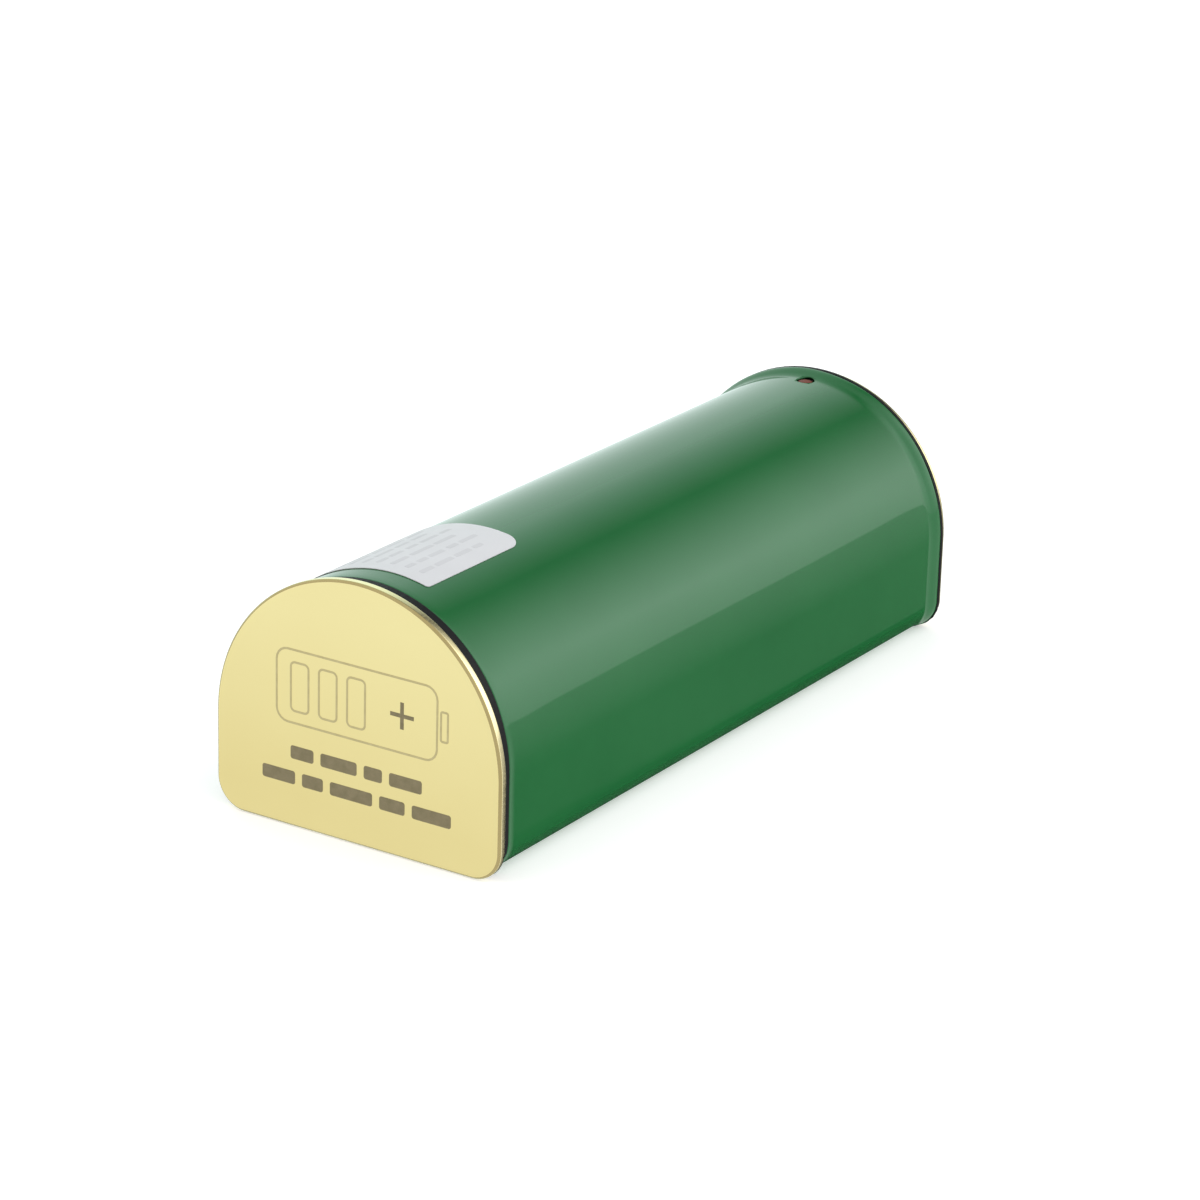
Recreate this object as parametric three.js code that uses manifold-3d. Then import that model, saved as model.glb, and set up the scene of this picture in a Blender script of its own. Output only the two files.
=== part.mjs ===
// D-section rechargeable battery pack: six round cells in a sleeved aluminium tube, with an insulated
// metal end plate as the terminal at each end and a spring-loaded relief valve on the crown.
// Millimetres, +Z up. The pack lies along Y with its front (positive) end at -Y, and stands on z = 0.
import * as THREE from "three";
import { mergeVertices } from "three/addons/utils/BufferGeometryUtils.js";
import Module from "manifold-3d";

const wasm = await Module();
wasm.setup();

// ---- driving dimensions ----
const LENGTH = 146;
const HALF_WIDTH = 27; // outside of the sleeve
const ARC_CENTRE = 17.2; // height of the half-round top's centre above the base
const BASE_CORNER = 5.7;
const ARC_STEPS = 48;
const CORNER_STEPS = 5;

const FACE_GAP = 0.05; // between flat faces that bear on each other
const SLIP_GAP = 0.3; // between pieces that slide into each other
const THREAD_GAP = 0.1;
const CUT_THROUGH = 1; // how far a cutter passes the face it opens

const PLATE_THICKNESS = 1.6;
const PLATE_BEVEL = 0.35;
const FRONT_PLATE_OVERHANG = 1.1; // beyond the sleeve on the sides
const FRONT_PLATE_ARC_DROP = 0.45; // of its arc's centre, so that the overhang is less at the crown
const FRONT_PLATE_CORNER = 5.4;
const REAR_PLATE_INSET = 0.5; // inside the rear rim's outline, all round

const SLEEVE_WALL = 0.4;
const SLEEVE_GAP = 0.1;
const FLARE_START = 0.5; // from the tube's rear end
const FLARE_LAND = 0.3; // of even section at the flare's end
const TUBE_WALL = 1.5;

const FLANGE_THICKNESS = 2.4;
const REAR_RIM_WIDTH = 0.7; // the part of the rear flange that shows
const REAR_RIM_OVERHANG = 0.8; // beyond the sleeve on the sides
const REAR_RIM_ARC_RISE = 0.3;
const REAR_RIM_CORNER = 5.4;
const PLUG_DEPTH = 6.4;
const PLUG_WALL = 1.8;
const PLUG_ROOT = 0.2; // of the plug, into the flange
const SEAL_WIDTH = 1.4;
const SEAL_DEPTH = 1;
const SEAL_START = 0.7; // from the plug's inner end

const CELL_RADIUS = 9.25; // over the wrap
const CELL_LENGTH = 65;
const CELL_PITCH = 18.8;
const CELL_FLOOR = 4.45; // underside of the lower cells
const CELL_SIDES = 32;
const CELL_SPACE = 0.6; // between the two rows, for the middle strip
const WRAP_FILM = 0.12;
const WRAP_FRONT_OPENING = 6.6;
const WRAP_REAR_OPENING = 7.2;
const CAN_RADIUS = 9;
const CAN_WALL = 0.3;
const CAN_LIP = 0.7; // from the cap's face to the crimped lip
const CAN_MOUTH = 6.9;
const CAP_BUTTON_RADIUS = 3;
const CAP_BUTTON_HEIGHT = 1;
const CAP_RADIUS = 8.4;
const CAP_DEPTH = 2.4;
const CORE_RADIUS = 8.4;
const CORE_HOLE = 1.6;
const CORE_END_SPACE = 0.9;

const STRIP_THICKNESS = 0.25;
const STRIP_PAD_RADIUS = 6;
const STRIP_TAB_WIDTH = 3;
const STRIP_TAB_END = 0.8; // past the lead's centre
const INSULATOR_THICKNESS = 0.4;
const INSULATOR_INSET = 6.7;

const HOLDER_THICKNESS = 4;
const HOLDER_INSET = 2.5;
const HOLDER_CLEARANCE = 0.2; // round each cell

const SCREW_RADIUS = 1.15;
const SCREW_HEAD_RADIUS = 2.3;
const SCREW_HEAD_HEIGHT = 1.5;
const SCREW_DEPTH = 1; // into the end plate
const SCREW_PLACES = { left: [-16, 10], right: [16, 10], top: [0, 33] };
const STUD_RADIUS = 2.4;
const STUD_HEIGHT = 19;

const BOARD_X = 15.5;
const BOARD_THICKNESS = 1.2;
const BOARD_LOW = 22.5;
const BOARD_WIDTH = 10;
const BOARD_START = -1;
const BOARD_LENGTH = 60;
const CHIP_HEIGHT = 1.2;
const SWITCH_CHIP = { start: 34, length: 6, low: 25, width: 5 };
const CONTROLLER_CHIP = { start: 18, length: 4, low: 26, width: 3 };

const LEAD_RADIUS = 0.8;
const UPPER_LEAD = [19.3, 27]; // where the leads pass the holders, as x and z
const LOWER_LEAD = [19.4, 21.8];
const SWITCH_PADS = [43, 49]; // where the leads run along the board, as y
const SENSE_PADS = [9, 13];
const PAD_RISE = 2.2; // of the lower leads' pads over their passage

const LABEL_START = 8.9; // from the front face
const LABEL_LENGTH = 27;
const LABEL_FROM = 74; // degrees round the half-round top, from +X
const LABEL_TO = 134;
const LABEL_THICKNESS = 0.15;

const VALVE_FROM_REAR = 6.4;
const VALVE_HEAD_RADIUS = 1.4;
const VALVE_HOLE_RADIUS = 1.7;
const VALVE_STEM_RADIUS = 0.4;
const VALVE_SEAT_RADIUS = 1.6;
const VALVE_SPRING_RADIUS = 0.85;
const VALVE_WIRE_RADIUS = 0.09; // 4 turns stay clear of each other at full lift
const VALVE_SPRING_TURNS = 4;
const VALVE_SEAT_RISE = 0.7; // over the plug's crown
const VALVE_SPRING_SPACE = 1.7;
const VALVE_RETAINER_HEIGHT = 0.45;
const SMALL_SIDES = 20;
const LEAD_SIDES = 8;
const WIRE_SIDES = 6;

// ---- derived places ----
const END = LENGTH / 2;
const PLATE_INNER = END - PLATE_THICKNESS;
const FLANGE_OUTER = PLATE_INNER - FACE_GAP;
const FLANGE_INNER = FLANGE_OUTER - FLANGE_THICKNESS;
const TUBE_END = FLANGE_INNER - FACE_GAP;
const REAR_RIM_START = FLANGE_OUTER - REAR_RIM_WIDTH;
const SLEEVE_REAR_END = REAR_RIM_START - FACE_GAP;
const TUBE_INSET = SLEEVE_WALL + SLEEVE_GAP;
const BORE_INSET = TUBE_INSET + TUBE_WALL;
const PLUG_INSET = BORE_INSET + SLIP_GAP;
const PLUG_END = FLANGE_INNER - PLUG_DEPTH;
const CELL_START = CELL_SPACE / 2;
const CELL_END = CELL_START + CELL_LENGTH;
const STRIP_INNER = CELL_END + FACE_GAP;
const STRIP_OUTER = STRIP_INNER + STRIP_THICKNESS;
const INSULATOR_INNER = STRIP_OUTER + 2 * FACE_GAP;
const INSULATOR_OUTER = INSULATOR_INNER + INSULATOR_THICKNESS;
const LOWER_CELL = CELL_FLOOR + CELL_RADIUS;
const UPPER_CELL = LOWER_CELL + CELL_PITCH * Math.sin(Math.PI / 3);
const CELL_PLACES = {
  left: [-CELL_PITCH / 2, LOWER_CELL],
  right: [CELL_PITCH / 2, LOWER_CELL],
  top: [0, UPPER_CELL],
};
const VALVE_Y = END - VALVE_FROM_REAR;
const CROWN = ARC_CENTRE + HALF_WIDTH;

// ---- materials ----
const finish = (color, roughness, metalness) =>
  new THREE.MeshStandardMaterial({ color, roughness, metalness });
const gold = finish(0xe2d28c, 0.35, 1);
const green = finish(0x2a7040, 0.22, 0);
const paper = finish(0xdcdfe2, 0.45, 0);
const aluminium = finish(0xb4b6b8, 0.4, 1);
const black = finish(0x1b1c1d, 0.5, 0);
const sealRubber = finish(0x2b2b2b, 0.8, 0);
const steel = finish(0xc2c4c6, 0.3, 1);
const brass = finish(0xc9a659, 0.3, 1);
const wrapBlue = finish(0x2f5d9c, 0.35, 0);
const windings = finish(0x4a4440, 0.7, 0);
const nickel = finish(0xcfcbc0, 0.3, 1);
const holderPlastic = finish(0xe6e2d6, 0.6, 0);
const fishPaper = finish(0x7f9c7a, 0.85, 0);
const boardGreen = finish(0x1f5a3a, 0.45, 0);
const chipBlack = finish(0x202124, 0.5, 0);
const leadRed = finish(0xb8332c, 0.45, 0);
const leadBlack = finish(0x222222, 0.45, 0);
const leadYellow = finish(0xd8b93a, 0.45, 0);
const silicone = finish(0x8c3328, 0.55, 0);

const pack = new THREE.Group();

function place(name, geometry, material) {
  const mesh = new THREE.Mesh(geometry, material);
  mesh.name = name;
  pack.add(mesh);
}

// ---- solids ----
function toSolid(geometry) {
  const bare = geometry.index ? geometry.toNonIndexed() : geometry.clone();
  bare.deleteAttribute("normal");
  bare.deleteAttribute("uv");
  const merged = mergeVertices(bare, 1e-4);
  const vertProperties = merged.attributes.position.array;
  const triVerts = new Uint32Array(merged.index.array);
  return new wasm.Manifold(new wasm.Mesh({ numProp: 3, vertProperties, triVerts }));
}

function toGeometry(solid) {
  const mesh = solid.getMesh();
  const geometry = new THREE.BufferGeometry();
  geometry.setAttribute("position", new THREE.BufferAttribute(mesh.vertProperties, 3));
  geometry.setIndex(new THREE.BufferAttribute(mesh.triVerts, 1));
  return geometry;
}

function cut(geometry, ...tools) {
  return toGeometry(tools.reduce((solid, tool) => solid.subtract(toSolid(tool)), toSolid(geometry)));
}

function join(geometry, ...others) {
  return toGeometry(others.reduce((solid, other) => solid.add(toSolid(other)), toSolid(geometry)));
}

// ---- outlines, drawn in x and z ----
function arcPoints(centreX, centreZ, radius, fromDegrees, toDegrees, steps) {
  return Array.from({ length: steps + 1 }, (_, i) => {
    const angle = THREE.MathUtils.degToRad(fromDegrees + ((toDegrees - fromDegrees) * i) / steps);
    return new THREE.Vector2(centreX + radius * Math.cos(angle), centreZ + radius * Math.sin(angle));
  });
}

function archPoints(half, centre, floor, corner) {
  return [
    ...arcPoints(0, centre, half, 0, 180, ARC_STEPS),
    ...arcPoints(-half + corner, floor + corner, corner, 180, 270, CORNER_STEPS),
    ...arcPoints(half - corner, floor + corner, corner, 270, 360, CORNER_STEPS),
  ];
}

// The pack's section, drawn in from the outside of the sleeve by an even inset.
function sectionPoints(inset) {
  const corner = Math.max(BASE_CORNER - inset, 1);
  return archPoints(HALF_WIDTH - inset, ARC_CENTRE, inset, corner);
}

const section = (inset) => new THREE.Shape(sectionPoints(inset));

function ringSection(outerInset, innerInset) {
  const shape = section(outerInset);
  shape.holes.push(new THREE.Path(sectionPoints(innerInset)));
  return shape;
}

const circlePoints = ([x, z], radius, steps) => arcPoints(x, z, radius, 0, 360, steps).slice(0, -1);

const circleHole = (at, radius, steps) => new THREE.Path(circlePoints(at, radius, steps));

const circleShape = (at, radius, steps) => new THREE.Shape(circlePoints(at, radius, steps));

// The outline of the rear rim, drawn in by an even inset.
function rimPoints(inset) {
  const centre = ARC_CENTRE + REAR_RIM_ARC_RISE;
  return archPoints(HALF_WIDTH + REAR_RIM_OVERHANG - inset, centre, inset, REAR_RIM_CORNER - inset);
}

// ---- swept solids ----
function alongY(shape, low, high, bevel = 0) {
  const geometry = new THREE.ExtrudeGeometry(shape, {
    depth: high - low - 2 * bevel,
    bevelEnabled: bevel > 0,
    bevelThickness: bevel,
    bevelSize: bevel,
    bevelOffset: -bevel,
    bevelSegments: 1,
  });
  geometry.rotateX(Math.PI / 2);
  return geometry.translate(0, high - bevel, 0);
}

// A closed ring through equal outlines, each with its y: the outside first, rear to front, then the inside.
function ringThrough(loops) {
  const count = loops[0][0].length;
  const positions = loops.flatMap(([points, y]) => points.flatMap((point) => [point.x, y, point.y]));
  const index = loops.flatMap((_, i) => {
    const low = i * count;
    const high = ((i + 1) % loops.length) * count;
    return loops[0][0].flatMap((_point, k) => {
      const next = (k + 1) % count;
      return [low + k, low + next, high + next, low + k, high + next, high + k];
    });
  });
  const geometry = new THREE.BufferGeometry();
  geometry.setAttribute("position", new THREE.Float32BufferAttribute(positions, 3));
  return geometry.setIndex(index);
}

const boreY = (at, radius, low, high) => alongY(circleShape(at, radius, SMALL_SIDES), low, high);

// A turned piece with its axis along Y at the given x and z. Profile points are radius and y.
function turnedY([x, z], profile, sides = SMALL_SIDES) {
  const points = profile.map(([radius, y]) => new THREE.Vector2(radius, y));
  return new THREE.LatheGeometry(points, sides).translate(x, 0, z);
}

// A turned piece with its axis along Z at the valve. Profile points are radius and z.
function turnedAtValve(profile) {
  const points = profile.map(([radius, z]) => new THREE.Vector2(radius, z));
  return new THREE.LatheGeometry(points, SMALL_SIDES).rotateX(Math.PI / 2).translate(0, VALVE_Y, 0);
}

function rodAtValve(radius, low, high) {
  return turnedAtValve([[0, low], [radius, low], [radius, high], [0, high]]);
}

function wire(points, radius, steps, sides) {
  const path = new THREE.CatmullRomCurve3(points.map((point) => new THREE.Vector3(...point)));
  return sweep(path, radius, steps, sides);
}

function sweep(path, radius, steps, sides) {
  const round = circleShape([0, 0], radius, sides);
  return new THREE.ExtrudeGeometry(round, { steps, extrudePath: path, bevelEnabled: false });
}

function block(lowX, highX, lowY, highY, lowZ, highZ) {
  const box = new THREE.BoxGeometry(highX - lowX, highY - lowY, highZ - lowZ);
  return box.translate((lowX + highX) / 2, (lowY + highY) / 2, (lowZ + highZ) / 2);
}

// Each end is drawn at the rear (+Y) and turned half round for the front.
const toFront = (geometry) => geometry.rotateZ(Math.PI);

// ---- outer shell ----
function addShell() {
  const opening = rodAtValve(VALVE_HOLE_RADIUS, CROWN - BORE_INSET - CUT_THROUGH, CROWN + CUT_THROUGH);
  const tube = alongY(ringSection(TUBE_INSET, BORE_INSET), -TUBE_END, TUBE_END);
  place("housing_tube", cut(tube, opening), aluminium);
  const flareStart = TUBE_END - FLARE_START;
  const flareEnd = SLEEVE_REAR_END - FLARE_LAND;
  const sleeve = ringThrough([
    [rimPoints(0), SLEEVE_REAR_END],
    [rimPoints(0), flareEnd],
    [sectionPoints(0), flareStart],
    [sectionPoints(0), -TUBE_END],
    [sectionPoints(SLEEVE_WALL), -TUBE_END],
    [sectionPoints(SLEEVE_WALL), flareStart],
    [rimPoints(SLEEVE_WALL), flareEnd],
    [rimPoints(SLEEVE_WALL), SLEEVE_REAR_END],
  ]);
  place("shrink_sleeve", cut(sleeve, opening), green);
}

function addLabel() {
  const inner = HALF_WIDTH + FACE_GAP;
  const steps = 14;
  const outside = arcPoints(0, ARC_CENTRE, inner + LABEL_THICKNESS, LABEL_FROM, LABEL_TO, steps);
  const inside = arcPoints(0, ARC_CENTRE, inner, LABEL_TO, LABEL_FROM, steps);
  const start = -END + LABEL_START;
  const label = alongY(new THREE.Shape([...outside, ...inside]), start, start + LABEL_LENGTH);
  place("spec_label", label, paper);
}

// ---- ends ----
function endPlate(outline) {
  const plate = alongY(outline, PLATE_INNER, END, PLATE_BEVEL);
  const holeEnd = PLATE_INNER + SCREW_DEPTH + FACE_GAP;
  const holes = Object.values(SCREW_PLACES).map((at) =>
    boreY(at, SCREW_RADIUS + THREAD_GAP, PLATE_INNER - CUT_THROUGH, holeEnd),
  );
  return cut(plate, ...holes);
}

function frontPlateOutline() {
  const half = HALF_WIDTH + FRONT_PLATE_OVERHANG;
  return new THREE.Shape(archPoints(half, ARC_CENTRE - FRONT_PLATE_ARC_DROP, 0, FRONT_PLATE_CORNER));
}

// A slab of a flange, from the given y to the flange's outer face, with the screws' and the stud's holes.
function flangeSlab(outline, low) {
  Object.values(SCREW_PLACES).forEach((at) => {
    outline.holes.push(circleHole(at, SCREW_RADIUS + SLIP_GAP, SMALL_SIDES));
  });
  outline.holes.push(circleHole([0, STUD_HEIGHT], STUD_RADIUS + SLIP_GAP, SMALL_SIDES));
  return alongY(outline, low, FLANGE_OUTER);
}

// A flange with a ring-shaped plug that sits in the tube and carries the seal.
function bulkhead(...slabs) {
  const plugOutline = ringSection(PLUG_INSET, PLUG_INSET + PLUG_WALL);
  const plug = alongY(plugOutline, PLUG_END, FLANGE_INNER + PLUG_ROOT);
  const groove = ringSection(PLUG_INSET - CUT_THROUGH, PLUG_INSET + SEAL_DEPTH);
  const grooveStart = PLUG_END + SEAL_START;
  const grooveCutter = alongY(groove, grooveStart, grooveStart + SEAL_WIDTH);
  return cut(join(plug, ...slabs), grooveCutter);
}

// The rear flange ends in a wider rim, which the sleeve flares up to. Its plug holds the valve seat.
function rearBulkhead() {
  const step = flangeSlab(section(TUBE_INSET), FLANGE_INNER);
  const rim = flangeSlab(new THREE.Shape(rimPoints(0)), REAR_RIM_START);
  const plugInside = CROWN - PLUG_INSET - PLUG_WALL;
  const seatHole = rodAtValve(VALVE_SEAT_RADIUS + FACE_GAP, plugInside - CUT_THROUGH, CROWN);
  return cut(bulkhead(step, rim), seatHole);
}

function seal() {
  const start = PLUG_END + SEAL_START + FACE_GAP;
  const ring = ringSection(BORE_INSET + FACE_GAP, PLUG_INSET + SEAL_DEPTH - FACE_GAP);
  return alongY(ring, start, start + SEAL_WIDTH - 2 * FACE_GAP);
}

function endScrew(at) {
  const headTop = FLANGE_INNER - FACE_GAP;
  return turnedY(at, [
    [0, headTop - SCREW_HEAD_HEIGHT],
    [SCREW_HEAD_RADIUS * 0.8, headTop - SCREW_HEAD_HEIGHT],
    [SCREW_HEAD_RADIUS, headTop - SCREW_HEAD_HEIGHT * 0.7],
    [SCREW_HEAD_RADIUS, headTop],
    [SCREW_RADIUS, headTop],
    [SCREW_RADIUS, PLATE_INNER + SCREW_DEPTH],
    [0, PLATE_INNER + SCREW_DEPTH],
  ]);
}

function terminalStud(innerEnd) {
  return turnedY([0, STUD_HEIGHT], [
    [0, innerEnd],
    [STUD_RADIUS, innerEnd],
    [STUD_RADIUS, FLANGE_OUTER],
    [0, FLANGE_OUTER],
  ]);
}

function addEnds() {
  place("front_end_plate", toFront(endPlate(frontPlateOutline())), gold);
  place("rear_end_plate", endPlate(new THREE.Shape(rimPoints(REAR_PLATE_INSET))), gold);
  place("front_bulkhead", toFront(bulkhead(flangeSlab(section(0), FLANGE_INNER))), black);
  place("rear_bulkhead", rearBulkhead(), black);
  place("front_seal", toFront(seal()), sealRubber);
  place("rear_seal", seal(), sealRubber);
  for (const [side, at] of Object.entries(SCREW_PLACES)) {
    place(`front_screw_${side}`, toFront(endScrew(at)), steel);
    place(`rear_screw_${side}`, endScrew(at), steel);
  }
  place("front_terminal_stud", toFront(terminalStud(STRIP_OUTER + FACE_GAP)), brass);
  place("rear_terminal_stud", terminalStud(INSULATOR_OUTER + 2 * FACE_GAP), brass);
}

// ---- cells: the positive cap faces the front, at y = front ----
function cellWrap(at, front) {
  const rear = front + CELL_LENGTH;
  const low = front + 2 * FACE_GAP;
  const inside = CELL_RADIUS - WRAP_FILM;
  return turnedY(at, [
    [CELL_RADIUS, low],
    [CELL_RADIUS, rear],
    [WRAP_REAR_OPENING, rear],
    [WRAP_REAR_OPENING, rear - WRAP_FILM],
    [inside, rear - WRAP_FILM],
    [inside, low + WRAP_FILM],
    [WRAP_FRONT_OPENING, low + WRAP_FILM],
    [WRAP_FRONT_OPENING, low],
    [CELL_RADIUS, low],
  ], CELL_SIDES);
}

function cellCan(at, front) {
  const rear = front + CELL_LENGTH - WRAP_FILM - FACE_GAP;
  const lip = front + CAN_LIP;
  const inside = CAN_RADIUS - CAN_WALL;
  return turnedY(at, [
    [0, rear - CAN_WALL],
    [inside, rear - CAN_WALL],
    [inside, lip + CAN_WALL],
    [CAN_MOUTH, lip + CAN_WALL],
    [CAN_MOUTH, lip],
    [CAN_RADIUS, lip],
    [CAN_RADIUS, rear],
    [0, rear],
  ], CELL_SIDES);
}

function cellCap(at, front) {
  const shoulder = front + CAN_LIP + CAN_WALL + 2 * FACE_GAP;
  return turnedY(at, [
    [0, front],
    [CAP_BUTTON_RADIUS * 0.9, front],
    [CAP_BUTTON_RADIUS, front + CAP_BUTTON_HEIGHT],
    [CAP_RADIUS, shoulder],
    [CAP_RADIUS, front + CAP_DEPTH],
    [0, front + CAP_DEPTH],
  ], CELL_SIDES);
}

function cellCore(at, front) {
  const low = front + CAP_DEPTH + CORE_END_SPACE;
  const high = front + CELL_LENGTH - CORE_END_SPACE;
  return turnedY(at, [
    [CORE_HOLE, low],
    [CORE_RADIUS, low],
    [CORE_RADIUS, high],
    [CORE_HOLE, high],
    [CORE_HOLE, low],
  ], CELL_SIDES);
}

function addCells() {
  for (const [row, front] of Object.entries({ front: -CELL_END, rear: CELL_START })) {
    for (const [side, at] of Object.entries(CELL_PLACES)) {
      const cell = `${row}_cell_${side}`;
      place(`${cell}_can`, cellCan(at, front), steel);
      place(`${cell}_core`, cellCore(at, front), windings);
      place(`${cell}_cap`, cellCap(at, front), nickel);
      place(`${cell}_wrap`, cellWrap(at, front), wrapBlue);
    }
  }
}

// ---- cell holders ----
const leadHole = (at) => circleHole(at, LEAD_RADIUS + SLIP_GAP, 12);

function holder(low) {
  const high = low + HOLDER_THICKNESS;
  const shape = section(HOLDER_INSET);
  shape.holes.push(leadHole(UPPER_LEAD), leadHole(LOWER_LEAD));
  const cells = Object.values(CELL_PLACES).map((at) =>
    alongY(circleShape(at, CELL_RADIUS + HOLDER_CLEARANCE, 32), low - CUT_THROUGH, high + CUT_THROUGH),
  );
  // The openings of neighbouring cells meet, so the web between the three centres goes too.
  const { left, right, top } = CELL_PLACES;
  const centres = [left, right, top].map((at) => new THREE.Vector2(...at));
  const web = alongY(new THREE.Shape(centres), low - CUT_THROUGH, high + CUT_THROUGH);
  const boardSlot = block(
    BOARD_X - SLIP_GAP,
    BOARD_X + BOARD_THICKNESS + SLIP_GAP,
    low - CUT_THROUGH,
    high + CUT_THROUGH,
    BOARD_LOW - SLIP_GAP,
    BOARD_LOW + BOARD_WIDTH + SLIP_GAP,
  );
  return cut(alongY(shape, low, high), ...cells, web, boardSlot);
}

function addHolders() {
  const outer = PLUG_END - 0.5;
  place("front_cell_holder", holder(-outer), holderPlastic);
  place("rear_cell_holder", holder(outer - HOLDER_THICKNESS), holderPlastic);
  // The middle strip lies inside its holder, in a recess that opens to the rear.
  const recessStart = -CELL_START - FACE_GAP;
  const tabRecessOutline = tabOutline(STRIP_TAB_WIDTH + 2 * SLIP_GAP, STRIP_TAB_END + 2 * SLIP_GAP);
  const tabRecess = alongY(tabRecessOutline, recessStart, HOLDER_THICKNESS);
  const padRecess = alongY(padOutline(STRIP_PAD_RADIUS + SLIP_GAP), recessStart, HOLDER_THICKNESS);
  const middle = cut(holder(-HOLDER_THICKNESS / 2), tabRecess, padRecess);
  place("middle_cell_holder", middle, holderPlastic);
}

// ---- nickel strips: three weld pads with a tab that reaches past the lower right cell ----
function tabOutline(width, past) {
  const [startX, startZ] = CELL_PLACES.right;
  const [endX, endZ] = LOWER_LEAD;
  const length = Math.hypot(endX - startX, endZ - startZ);
  const along = new THREE.Vector2((endX - startX) / length, (endZ - startZ) / length);
  const across = new THREE.Vector2(-along.y, along.x).multiplyScalar(width / 2);
  const start = new THREE.Vector2(startX, startZ);
  const end = new THREE.Vector2(endX, endZ).addScaledVector(along, past);
  return new THREE.Shape([
    start.clone().sub(across),
    end.clone().sub(across),
    end.clone().add(across),
    start.clone().add(across),
  ]);
}

function padOutline(radius) {
  const { left, right, top } = CELL_PLACES;
  return new THREE.Shape([
    ...arcPoints(...right, radius, -90, 30, 8),
    ...arcPoints(...top, radius, 30, 150, 8),
    ...arcPoints(...left, radius, 150, 270, 8),
  ]);
}

function strip(low) {
  const high = low + STRIP_THICKNESS;
  const pads = alongY(padOutline(STRIP_PAD_RADIUS), low, high);
  return join(pads, alongY(tabOutline(STRIP_TAB_WIDTH, STRIP_TAB_END), low, high));
}

function addStrips() {
  place("front_nickel_strip", strip(-STRIP_OUTER), nickel);
  place("middle_nickel_strip", strip(-STRIP_THICKNESS / 2), nickel);
  place("rear_nickel_strip", strip(STRIP_INNER), nickel);
  const open = section(INSULATOR_INSET);
  open.holes.push(circleHole([0, STUD_HEIGHT], STUD_RADIUS + SLIP_GAP, SMALL_SIDES));
  place("front_insulator", alongY(open, -INSULATOR_OUTER, -INSULATOR_INNER), fishPaper);
  place("rear_insulator", alongY(section(INSULATOR_INSET), INSULATOR_INNER, INSULATOR_OUTER), fishPaper);
}

// ---- protection board and leads ----
function addElectronics() {
  const face = BOARD_X + BOARD_THICKNESS;
  const top = BOARD_LOW + BOARD_WIDTH;
  const board = block(BOARD_X, face, BOARD_START, BOARD_START + BOARD_LENGTH, BOARD_LOW, top);
  place("protection_board", board, boardGreen);
  const chipLow = face + FACE_GAP;
  const chip = ({ start, length, low, width }) =>
    block(chipLow, chipLow + CHIP_HEIGHT, start, start + length, low, low + width);
  place("switch_chip", chip(SWITCH_CHIP), chipBlack);
  place("controller_chip", chip(CONTROLLER_CHIP), chipBlack);

  const padX = face + LEAD_RADIUS + SLIP_GAP;
  const padZ = LOWER_LEAD[1] + PAD_RISE;
  const [upperX, upperZ] = UPPER_LEAD;
  const [lowerX, lowerZ] = LOWER_LEAD;
  const behindPlate = (INSULATOR_OUTER + FLANGE_INNER) / 2;
  const underTab = STRIP_INNER - SLIP_GAP;
  const inHolder = PLUG_END - 3;
  const [switchNear, switchFar] = SWITCH_PADS;
  const [senseNear, senseFar] = SENSE_PADS;
  place(
    "pack_negative_lead",
    wire([
      [STUD_RADIUS + SLIP_GAP, behindPlate, STUD_HEIGHT],
      [10, behindPlate, 22.5],
      [17, behindPlate, 26],
      [upperX - 0.1, behindPlate - 0.8, upperZ],
      [upperX, behindPlate - 3.5, upperZ],
      [upperX, inHolder, upperZ],
      [upperX, inHolder - 5, upperZ],
      [padX, switchFar, upperZ],
      [padX, switchNear + 1, upperZ],
    ], LEAD_RADIUS, 24, LEAD_SIDES),
    leadBlack,
  );
  place(
    "cell_negative_lead",
    wire([
      [lowerX, underTab, lowerZ],
      [lowerX, inHolder, lowerZ],
      [lowerX, inHolder - 6, lowerZ],
      [padX, switchFar - 2, padZ],
      [padX, switchNear, padZ],
    ], LEAD_RADIUS, 14, LEAD_SIDES),
    leadBlack,
  );
  place(
    "midpoint_lead",
    wire([
      [lowerX, STRIP_THICKNESS / 2 + SLIP_GAP, lowerZ],
      [lowerX, 4, lowerZ],
      [padX, senseNear, padZ],
      [padX, senseFar, padZ],
    ], LEAD_RADIUS, 10, LEAD_SIDES),
    leadYellow,
  );
  place(
    "positive_sense_lead",
    wire([
      [lowerX, -underTab, lowerZ],
      [lowerX, -inHolder, lowerZ],
      [lowerX, -50, lowerZ],
      [upperX, -38, upperZ],
      [upperX, -6, upperZ],
      [upperX, 4, upperZ],
      [padX, senseNear, upperZ + 1],
      [padX, senseFar, upperZ + 1],
    ], LEAD_RADIUS, 30, LEAD_SIDES),
    leadRed,
  );
}

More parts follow.
